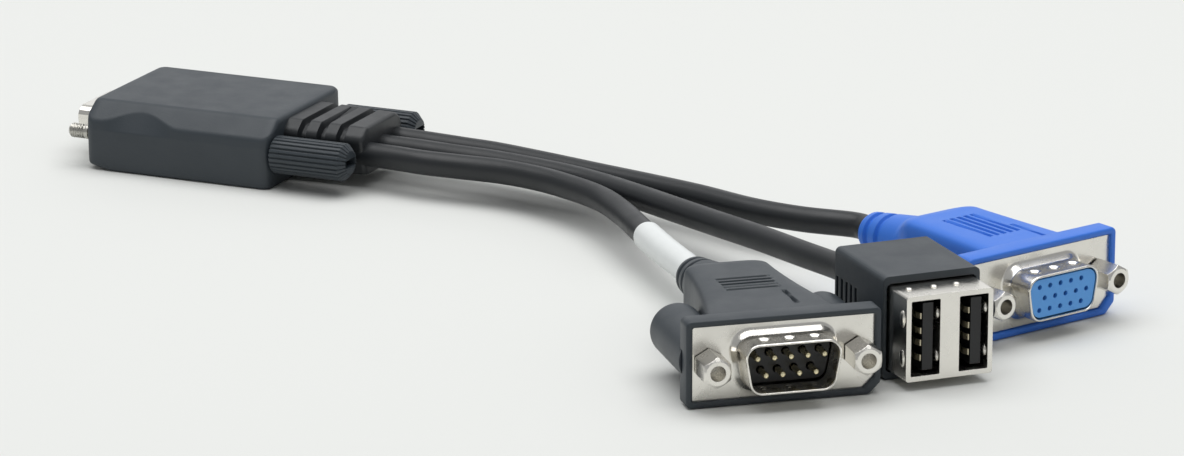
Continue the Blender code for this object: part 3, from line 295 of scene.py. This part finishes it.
FRONT, REAR = -19.25, 18.55  # the hood's ends
HOOD_HALF_WIDTH, HOOD_TOP = 15.3, 12.5
HOOD_RIM = 0.7
END_ARC = 2.0  # the ends draw in along this arc, seen from above
DISH_START, DISH_LENGTH = 3.3, 15.5  # the thumb dishes, from the front
# each shoulder's width and fall, the depth of the dish below it, and its share of the end's arc
FAR_SHOULDER = (1.2, 0.8, 0.3, 1.0)
NEAR_SHOULDER = (4.1, 3.3, 2.3, 0.5)
FOOT_TOP = 7.6  # the height of the dishes' lower edge

RELIEF_START, RELIEF_LENGTH, RELIEF_ROUND = REAR + 0.3, 15.3, 0.8
RELIEF_CORNERS = [(6.6, 11.6), (9.1, 9.7), (7.3, 2.0)]
RELIEF_RADII = [2.6, 1.8, 1.8, 1.8, 1.8, 2.6]
# each slot's place along the relief, where its near part ends and where its far part starts
RELIEF_SLOTS = [(3.2, 0.0, 4.5), (7.0, 5.4, 99.0), (10.8, -2.6, 2.6)]
SLOT_DEPTH = 1.5
LEAD_GAP = 0.3

HUB_Z = 6.25  # the screws' and the leads' line
SCREW_Y = 12.4
TIP_REACH = 4.2
THREAD_PITCH, THREAD_RADIUS, THREAD_DEPTH, THREAD_END = 0.5, 1.38, 0.22, 4.0
SHANK_RADIUS = 1.0
HEAD_RADIUS, HEAD_RIBS, RIB_DEPTH = 3.46, 24, 0.27
FAR_SCREW_OUT = 1.9  # the far screw is backed out


def mirrored(half):
    """A whole outline from the corners of its right half, which run from the top down."""
    return half[:1] + [(-y, z) for y, z in half] + half[:0:-1]


def hood_ring(x, soften):
    """The hood at a station: flat top, sloping shoulders, and sides that are dished for the thumb.

    The dish is deepest at the shoulders and nearly nothing at the foot. soften draws in the whole
    outline, for the rims.
    """
    ends = min(x - FRONT, REAR - x)
    inset = END_ARC - math.sqrt(max(END_ARC**2 - max(END_ARC - ends, 0.0) ** 2, 0.0))
    share = np.clip((x - FRONT - DISH_START) / DISH_LENGTH, 0, 1)
    dish = math.sin(math.pi * share) ** 1.4
    lift = max(0.0, 1.0 - (x - FRONT) / 5.0) + soften
    side = HOOD_HALF_WIDTH - inset - soften
    top = HOOD_TOP - 0.2 * inset - soften
    halves = []
    for into, down, deep, part in (FAR_SHOULDER, NEAR_SHOULDER):
        shoulder = HOOD_HALF_WIDTH - into - part * inset - (soften if part == 1.0 else 0.0)
        upper = side - 0.2 - deep * dish
        turn = top - (upper - shoulder - (1 - part) * inset) * down / into
        halves.append([(shoulder, top), (upper, turn), (side - 0.3 * dish, FOOT_TOP), (side - 0.2, lift)])
    far, near = halves
    corners = far[:1] + [(-y, z) for y, z in near] + far[:0:-1]
    return ring(x, rounded(corners, [0.8, 2.4, 1.6, 0.8, 0.7, 0.7, 2.0, 0.5], 9))


def hood():
    """The hub's hood with its rounded rims."""
    turns = [(math.sin(a), math.cos(a)) for a in np.radians([0, 18, 36, 54, 72, 90])]
    rows = [hood_ring(FRONT + HOOD_RIM * (1 - s) + 1e-3, HOOD_RIM * (1 - c)) for s, c in turns[::-1]]
    rows += [hood_ring(x, 0.0) for x in np.linspace(FRONT + HOOD_RIM + 0.1, REAR - HOOD_RIM - 0.1, 110)]
    rows += [hood_ring(REAR - HOOD_RIM * (1 - s) - 1e-3, HOOD_RIM * (1 - c)) for s, c in turns]
    dress(rings_mesh("hub_hood_skin", [np.array(rows)], MOULDED), "black_plastic", "hub_hood")


def relief_ring(x):
    """The strain relief at a station: it tapers, ends in a rounded rim, and has slots above and below."""
    straight = RELIEF_LENGTH - RELIEF_ROUND
    turn = math.asin(min(max(x - straight, 0) / RELIEF_ROUND, 1.0))
    shrink = RELIEF_ROUND * (1 - math.cos(turn)) + 0.035 * x
    middle = np.array([0.0, HUB_Z])
    outline = rounded(mirrored(RELIEF_CORNERS), RELIEF_RADII, 22)
    outward = outline - middle
    outline = outline - outward / np.linalg.norm(outward, axis=1)[:, None] * shrink
    y, z = outline[:, 0], outline[:, 1]
    for place, near_end, far_start in RELIEF_SLOTS:
        across = ease(x, place - 0.85, place - 0.6) * (1 - ease(x, place + 0.6, place + 0.85))
        upper = ease(z, 7.6, 8.1)
        near = 1 - ease(y, near_end - 0.3, near_end + 0.3)
        far = ease(y, far_start - 0.3, far_start + 0.3)
        under = ease(-z, -4.6, -4.1) * (1 - ease(-y, near_end - 0.3, near_end + 0.3))
        depth = SLOT_DEPTH * across * np.maximum(upper * np.maximum(near, far), under)
        inward = (middle - outline) * np.array([0.55, 1.0])
        inward /= np.linalg.norm(inward, axis=1)[:, None]
        outline = outline + inward * depth[:, None]
    return ring(RELIEF_START + x, outline)


def relief():
    """The soft relief with its staggered slots."""
    straight = RELIEF_LENGTH - RELIEF_ROUND
    rim = straight + RELIEF_ROUND * np.sin(np.radians([20, 45, 70, 90]))
    rows = [relief_ring(x) for x in np.concatenate([[-1.0, 0.0], np.linspace(0.15, straight, 150), rim])]
    dress(rings_mesh("hub_relief_skin", [np.array(rows)], RELIEF, 50.0), "black_rubber", "hub_strain_relief")


def thumbscrew(name, across, out):
    """A jackscrew with its thread, and the ribbed root of its head, which reaches to the hood."""
    tip = FRONT - TIP_REACH + out
    count = 36
    share = np.arange(count) / count
    rows = []
    for x in np.concatenate([np.arange(0, 3.5, 0.06), [3.6, THREAD_END]]):
        flank = 1 - np.abs(2 * ((x / THREAD_PITCH - share) % 1.0) - 1)
        radius = THREAD_RADIUS - THREAD_DEPTH * flank * (1 - ease(x, 3.1, 3.5))
        radius = np.minimum(radius, 0.95 + x * 0.9)
        rows.append(ring(tip + x, circle(count) * radius[:, None] + (across, HUB_Z)))
    shank = lathe([(tip + THREAD_END, SHANK_RADIUS), (REAR + 3 + out, SHANK_RADIUS)], across, HUB_Z, count)
    screw = rings_mesh(f"{name}_threaded_screw", [np.array(rows), shank], STEEL, 30.0)
    dress(screw, "steel", f"{name}_jackscrew", body=f"{name}_thumbscrew")

    rib = [(0, 0), (0.55, 0), (0.7, RIB_DEPTH), (0.85, RIB_DEPTH)]
    turns = np.array([(start + part, deep) for start in range(HEAD_RIBS) for part, deep in rib])
    angle = turns[:, 0] * 2 * math.pi / HEAD_RIBS
    around = np.stack([np.cos(angle), np.sin(angle)], -1)
    rows = []
    for x, shrink in ((0.15, 0.35), (0.3, 0.1), (0.5, 0.0), (2.3, 0.0)):
        band = around * (HEAD_RADIUS - turns[:, 1] - shrink)[:, None]
        rows.append(ring(REAR + x + out, band + (across, HUB_Z)))
    root = rings_mesh(f"{name}_head_root", [np.array(rows)], MOULDED)
    dress(root, "black_plastic", body=f"{name}_thumbscrew")


def hub():
    """Hood, strain relief and the two thumbscrews."""
    hood()
    relief()
    thumbscrew("near", -SCREW_Y, 0.0)
    thumbscrew("far", SCREW_Y, FAR_SCREW_OUT)


# ---------------------------------------------------------------- serial and video connectors


PLACES = {
    "serial": ((149.1, -91.5), math.radians(-50.9)),
    "video": ((173.9, -38.7), math.radians(-29.1)),
    "usb": ((170.85, -74.05), math.radians(-44.5)),
}
FRAME_WIDTH, FRAME_CUT = 32.5, 1.9  # the lower right corner is cut off by this much
FLANGE_WIDTH, FLANGE_HEIGHT = 30.8, 12.5
SHELL_RADIUS = 2.4
TAIL_LENGTH, TAIL_RADIUS, TAIL_GROOVE = 10.2, 3.4, 0.6
BOSS_SPACING, BOSS_ROUND = 12.2, 2.6
GROOVE_PITCH, GROOVE_DEPTH = 1.5, 0.6  # the grip grooves
DIMPLE_RADIUS, DIMPLE_DEPTH = 0.95, 0.45


def plate_outline(width, height, radius):
    """The frame's and the flange's outline: a rounded rectangle with its lower right corner cut off."""
    y, z = width / 2, height / 2
    corners = [(y, z), (-y, z), (-y, -z), (y - FRAME_CUT, -z), (y, FRAME_CUT - z)]
    return rounded(corners, [radius] * 5, 10)


def d_outline(width, height, radius, grow=0.0):
    """The D shape, with sides that lean in by ten degrees, matched point for point with the plate's."""
    y, z = width / 2, height / 2
    lean = height * math.tan(math.radians(10))
    corners = [(y, z), (-y, z), (lean - y, -z), (y - lean, -z)]
    first = rounded(corners, [radius] * 4, 10)
    last = rounded(corners, [radius] * 4, 20)[60:]
    outline = np.concatenate([first[:30], last])
    if grow:
        ahead, behind = np.roll(outline, -1, 0), np.roll(outline, 1, 0)
        along = ahead - behind
        along /= np.linalg.norm(along, axis=1)[:, None]
        outline = outline + np.stack([along[:, 1], -along[:, 0]], -1) * grow
    return outline


def tail_radius(x, plug):
    """The round tail's radius: it widens to the body, and has two grooves and a soft rim."""
    rim = 0.35 * (1 - float(ease(x, -plug, -plug + 0.8)))
    radius = TAIL_RADIUS + min((x + plug) / TAIL_LENGTH, 1.0) - rim
    for index in range(2):
        groove = -plug + 3.2 * (index + 0.6) + 0.6
        radius -= TAIL_GROOVE * (1 - float(ease(abs(x - groove), 0.45, 0.8)))
    return radius


def moulding(prefix, look, slot, height, plug, body, halves, drop, boss, ribs):
    """Frame, body, funnel, ringed tail and screw bosses of a connector's hood.

    plug and body are how far the tail and the body reach behind the flange. halves are the body's half
    widths at its rear and its front: between them it is rear + (front - rear) s^1.6. The power of the
    superellipse goes from 2 at the tail to 9 at the body. drop is how far the tail's end sags, boss is
    the bosses' length and radius, and ribs is a function that lowers the top.
    """
    middle = height / 2
    rear_half, front_half = halves
    tail_end = TAIL_LENGTH - plug
    rows = []
    for x in np.concatenate([np.linspace(-plug, tail_end, 90), np.linspace(tail_end + 0.1, -3.2, 190)]):
        funnel = float(ease(x, tail_end - 0.4, -body + 0.6))
        share = np.clip((x + body) / (body - 3.4), 0, 1)
        wide = rear_half + (front_half - rear_half) * share**1.6
        tail = tail_radius(x, plug)
        half_width = tail + (wide - tail) * funnel
        half_height = tail + (middle - 0.5 - tail) * funnel
        flare = 0.5 * float(ease(x, -5.0, -3.3)) ** 2
        outline = superellipse(half_width + flare, half_height + 0.4 * flare, 2 + 7 * funnel**1.5)
        outline[:, 1] = ribs(x, outline[:, 0], outline[:, 1], half_height)
        rows.append(ring(x, outline, middle - drop * (1 - min((x + plug) / TAIL_LENGTH, 1.0))))
    shells = [np.array(rows)]

    steps = [(-3.4, 0.6), (-3.36, 0.32), (-3.2, 0.1), (-2.9, 0.0), (0.25, 0.0), (0.45, 0.06), (0.57, 0.2)]
    steps += [(0.6, 0.4), (0.6, 0.8), (0.52, 0.98), (0.35, 1.08), (-0.55, 1.1)]
    rows = []
    for x, inset in steps:
        outline = plate_outline(FRAME_WIDTH - 2 * inset, height - 2 * inset, max(1.0 - inset * 0.6, 0.3))
        rows.append(ring(x, outline, middle))
    shells.append(np.array(rows))

    length, radius = boss
    profile = [(-2.0, radius), (BOSS_ROUND - length, radius)]
    for a in np.radians(range(8, 89, 8)):
        profile.append((BOSS_ROUND * (1 - math.sin(a)) - length, radius * math.cos(a) ** 0.6))
    shells += [lathe(profile, side * BOSS_SPACING, middle, 56) for side in (-1, 1)]
    obj = rings_mesh(f"{prefix}_hood_skin", put(shells, *PLACES[prefix]), look)
    dress(obj, slot, f"{prefix}_hood")


def even(outline):
    """The same closed outline with its points at even spacing."""
    return evenly(np.vstack([outline, outline[:1]]), 320)


def pressed_shell(prefix, width, height, middle):
    """Flange and D-shaped skirt: the skirt rises from a round flare, and its rim and dimples are soft."""

    def flange(inset):
        radius = max(0.6 - inset * 0.5, 0.2)
        return even(plate_outline(FLANGE_WIDTH - 2 * inset, FLANGE_HEIGHT - 2 * inset, radius))

    def skirt(grow):
        return even(d_outline(width, height, SHELL_RADIUS, grow))

    rows = [ring(x, flange(inset)) for x, inset in ((-0.5, 0.0), (-0.1, 0.0), (-0.02, 0.05), (0.0, 0.2))]
    rows += [ring(x, skirt(grow)) for x, grow in ((0.0, 1.5), (0.03, 1.3))]
    for a in np.radians([0, 12, 25, 40, 55, 70, 90]):
        rows.append(ring(0.35 + 0.9 * math.sin(a) - 0.3 * math.cos(a), skirt(0.9 * (1 - math.sin(a)))))
    for x in np.linspace(1.35, 5.6, 36):
        outline = skirt(0.0)
        for place in (-4.2, 0.0, 4.2):
            far = ((outline[:, 0] - place) / DIMPLE_RADIUS) ** 2 + ((x - 3.2) / DIMPLE_RADIUS) ** 2
            flat = np.abs(outline[:, 1]) > height / 2 - 0.2
            outline[:, 1] -= np.sign(outline[:, 1]) * DIMPLE_DEPTH * np.exp(-(far**2)) * flat
        rows.append(ring(x, outline))
    rim = ((5.75, -0.03), (5.86, -0.12), (5.9, -0.22), (5.86, -0.32), (5.7, -0.4), (1.0, -0.4), (-0.5, -0.4))
    rows += [ring(x, skirt(grow)) for x, grow in rim]
    grid = np.array(rows)
    grid[:, :, 2] += middle
    obj = hollow_mesh(f"{prefix}_shell_skin", put([grid], *PLACES[prefix])[0], NICKEL)
    dress(obj, "nickel", f"{prefix}_shell")


def cross_ribs(x, y, z, top):
    """Five shallow grooves across the serial hood's top, and a short line beside them."""
    if not -25.0 < x < -4.0:
        return z
    place = (x + 16.4) / -GROOVE_PITCH
    near = abs(place - round(place)) * GROOVE_PITCH
    groove = (1 - float(ease(near, 0.22, 0.42))) * (-0.3 < place < 4.3) * (1 - ease(np.abs(y), 4.2, 4.6))
    line = (1 - ease(np.abs(y - 4.4), 0.2, 0.38)) * (1 - float(ease(abs(x + 10.4), 3.6, 3.9)))
    return z - GROOVE_DEPTH * np.maximum(groove, line) * (z > top - 0.6)


def long_ribs(x, y, z, top):
    """Five shallow grooves along the video hood's top, and a short line towards the frame."""
    if not -21.0 < x < -4.0:
        return z
    place = y / GROOVE_PITCH
    near = np.abs(place - np.round(place)) * GROOVE_PITCH
    groove = (1 - ease(near, 0.24, 0.44)) * (np.abs(place) < 2.4) * (1 - float(ease(abs(x + 15.6), 6.3, 6.6)))
    line = (1 - ease(np.abs(y - 4.4), 0.2, 0.38)) * float(ease(x, -12.6, -12.3))
    return z - GROOVE_DEPTH * np.maximum(groove, line) * (z > top - 0.6)


def connectors():
    """The two D connectors."""
    moulding(
        "serial", MOULDED, "black_plastic", height=14.5, plug=50.0, body=31.0, halves=(7.4, 11.8), drop=0.9,
        boss=(21.0, 4.5), ribs=cross_ribs,
    )
    moulding(
        "video", BLUE, "blue_plastic", height=15.0, plug=43.5, body=25.0, halves=(8.2, 9.2), drop=0.6,
        boss=(7.4, 3.6), ribs=long_ribs,
    )
    pressed_shell("serial", 16.9, 8.5, 7.25)
    pressed_shell("video", 16.3, 7.9, 7.5)


def pillow(middle, reach, up, axes, count=24):
    """A low round dome: middle, half sizes along two axes, and a height along the third."""
    rows = []
    for a in np.radians([0, 25, 50, 70, 85]):
        grid = np.zeros((count, 3))
        grid[:, axes] = circle(count) * reach * math.cos(a)
        grid[:, 3 - axes[0] - axes[1]] = up * math.sin(a)
        rows.append(grid + middle)
    return np.array(rows)


def usb_details():
    """Stamped dimples on the twin shell's top, two lugs on its side and the sprung fingers in its ports."""
    grids = [pillow((-4.2, across, 15.8), (0.75, 0.6), 0.3, (0, 1)) for across in (-5.4, -1.0, 3.0)]
    for height in (5.2, 11.8):
        grids.append(pillow((-1.5, -7.62, height), (0.9, 1.5), -0.45, (0, 2)))
    for across in (-4.25, 4.25):
        for height in (5.0, 12.2):
            grids.append(pillow((-2.2, across + 2.53, height), (1.6, 1.2), -0.55, (0, 2)))
    dress(rings_mesh("usb_shell_stampings", put(grids, *PLACES["usb"]), NICKEL, 50.0), "nickel")


# ---------------------------------------------------------------- leads

# the middle line's points between the two plugs, measured in the photograph
ROUTES = {
    "serial": [
        (40.5, -6.5, 6.3), (46.0, -7.1, 6.3), (52.9, -7.0, 6.3), (60.8, -7.2, 6.4), (67.5, -8.6, 6.5),
        (74.2, -10.9, 6.5), (84.4, -16.4, 6.5), (92.3, -24.0, 6.5), (99.6, -32.5, 6.4), (107.6, -41.6, 6.35),
    ],
    "usb": [
        (42.0, -0.5, 6.3), (50.0, -1.3, 6.3), (58.5, -2.0, 6.3), (71.4, -4.6, 6.3), (80.7, -7.8, 6.3),
        (90.7, -13.1, 6.5), (100.8, -19.2, 6.8), (110.8, -25.2, 7.1), (120.9, -31.4, 7.5),
        (131.2, -38.3, 7.9), (141.2, -45.0, 8.3),
    ],
    "video": [
        (41.3, 5.2, 6.2), (48.5, 4.7, 6.1), (55.6, 3.9, 6.1), (66.7, 1.6, 6.0), (77.9, -1.3, 6.0),
        (88.9, -4.6, 6.2), (100.2, -8.6, 6.5), (111.7, -13.0, 6.6), (121.9, -15.0, 6.7),
    ],
}
# across the hub's relief, how far the socket lies behind the connector's face, and the socket's height
TAILS = {"serial": (-5.8, 50.0, 6.35), "usb": (0.0, 28.8, 8.65), "video": (5.8, 43.5, 6.9)}


def catmull(points, steps=10):
    """A smooth curve through the points."""
    points = np.array(points, float)
    guide = np.vstack([2 * points[0] - points[1], points, 2 * points[-1] - points[-2]])
    line = []
    for a, b, c, d in zip(guide, guide[1:], guide[2:], guide[3:]):
        for t in np.arange(steps) / steps:
            square, cube = (2 * a - 5 * b + 4 * c - d) * t**2, (3 * b - a - 3 * c + d) * t**3
            line.append((2 * b + (c - a) * t + square + cube) / 2)
    line.append(points[-1])
    return np.array(line)


def lead_line(name):
    """The lead's middle line, from its socket in the relief to its socket in the connector."""
    across, plug, height = TAILS[name]
    (px, py), heading = PLACES[name]
    along = np.array([math.cos(heading), math.sin(heading), 0.0])
    end = np.array([px, py, height]) - along * plug
    mouth = np.array([RELIEF_START + RELIEF_LENGTH + LEAD_GAP, across, HUB_Z])
    points = [mouth, *ROUTES[name], end - along * 4.5, end - along * LEAD_GAP]
    return np.vstack([mouth - [2.0, 0.0, 0.0], catmull(points), end + along * 1.7])


def tube(name, line, radius, look, count=28):
    """A tube of a given radius, or of one radius for each point, along a line."""
    along = np.gradient(line, axis=0)
    along /= np.linalg.norm(along, axis=1)[:, None]
    side = np.cross(along, [0.0, 0.0, 1.0])
    side /= np.linalg.norm(side, axis=1)[:, None]
    up = np.cross(side, along)
    c, s = circle(count).T
    grid = side[:, None] * c[None, :, None] + up[:, None] * s[None, :, None]
    radius = np.broadcast_to(radius, len(line))
    return rings_mesh(name, [line[:, None] + grid * radius[:, None, None]], look, 60.0)


LEAD_DIAMETER = 4.5
LABEL_LENGTH, LABEL_FROM_END, LABEL_RADIUS = 24.0, 2.6, 2.56


def label(line):
    """The blank sleeve near the serial plug: its ends grip the jacket, and it is slightly uneven."""
    last = distances(line)[-1] - LABEL_FROM_END
    places = np.linspace(last - LABEL_LENGTH, last, 60)
    ends = np.minimum(places - places[0], places[-1] - places)
    wrap = LABEL_RADIUS - 0.12 * np.exp(-ends / 0.15) + 0.02 * np.sin(places * 1.7)
    dress(tube("lead_label_sleeve", walk(line, places), wrap, LABEL, 40), "white_film", "lead_label")


def leads():
    """The three leads and the blank label on the serial one."""
    for name in ("serial", "usb", "video"):
        line = lead_line(name)
        obj = tube(f"{name}_lead_jacket", line, LEAD_DIAMETER / 2, JACKET)
        dress(obj, "black_rubber", f"{name}_lead")
        if name == "serial":
            label(line)


# ---------------------------------------------------------------- floor, light and camera


FLOOR_HALF, FLOOR_DROP = 6.0, 0.0001
LIT_SPOT = (0.08, -0.03, 0.0)
SOFTBOXES = (
    ("overhead_softbox", (1.6, 1.2), 15.0, (0.05, 0.02, 1.1)),
    ("rear_softbox", (2.4, 0.9), 4.0, (-0.55, 1.5, 0.62)),
)
FOCAL_PIXELS, PHOTO_WIDTH, SENSOR_WIDTH = 5500, 1184, 36.0  # the camera that fits the photograph
CAMERA_PLACE, CAMERA_TURN = (0.4566, -0.8681, 0.27185), (73.757, 0.0, 23.69)


def stage():
    """A plain pale floor under large soft lights, and the camera."""
    mesh = bpy.data.meshes.new("studio_floor")
    corners = [(x * FLOOR_HALF, y * FLOOR_HALF, 0) for x, y in ((-1, -1), (1, -1), (1, 1), (-1, 1))]
    mesh.from_pydata(corners, [], [(0, 1, 2, 3)])
    mesh.materials.append(material("white_paper_sweep", "#dadbd8", 0.85, Specular_IOR_Level=0.15))
    floor = place_new("studio_floor", mesh)
    floor.location.z = -FLOOR_DROP

    for name, size, energy, spot in SOFTBOXES:
        lamp = bpy.data.lights.new(name, "AREA")
        lamp.shape = "RECTANGLE"
        lamp.size, lamp.size_y = size
        lamp.energy = energy
        light = place_new(name, lamp)
        light.location = spot
        light.rotation_euler = (Vector(LIT_SPOT) - light.location).to_track_quat("-Z", "Y").to_euler()

    world = bpy.data.worlds.new("pale_studio")
    bpy.context.scene.world = world
    world.use_nodes = True
    back = world.node_tree.nodes["Background"]
    back.inputs["Color"].default_value = linear("#f4f6f8")
    back.inputs["Strength"].default_value = 0.42

    eye = bpy.data.cameras.new("camera")
    eye.sensor_width = SENSOR_WIDTH
    eye.lens = FOCAL_PIXELS * SENSOR_WIDTH / PHOTO_WIDTH
    eye.clip_start = 0.05
    camera = place_new("camera", eye)
    camera.location = CAMERA_PLACE
    camera.rotation_euler = [math.radians(turn) for turn in CAMERA_TURN]
    bpy.context.scene.camera = camera
    bpy.context.scene.view_settings.view_transform = "Standard"


stage()
hub()
connectors()
usb_details()
leads()

bpy.context.view_layer.update()
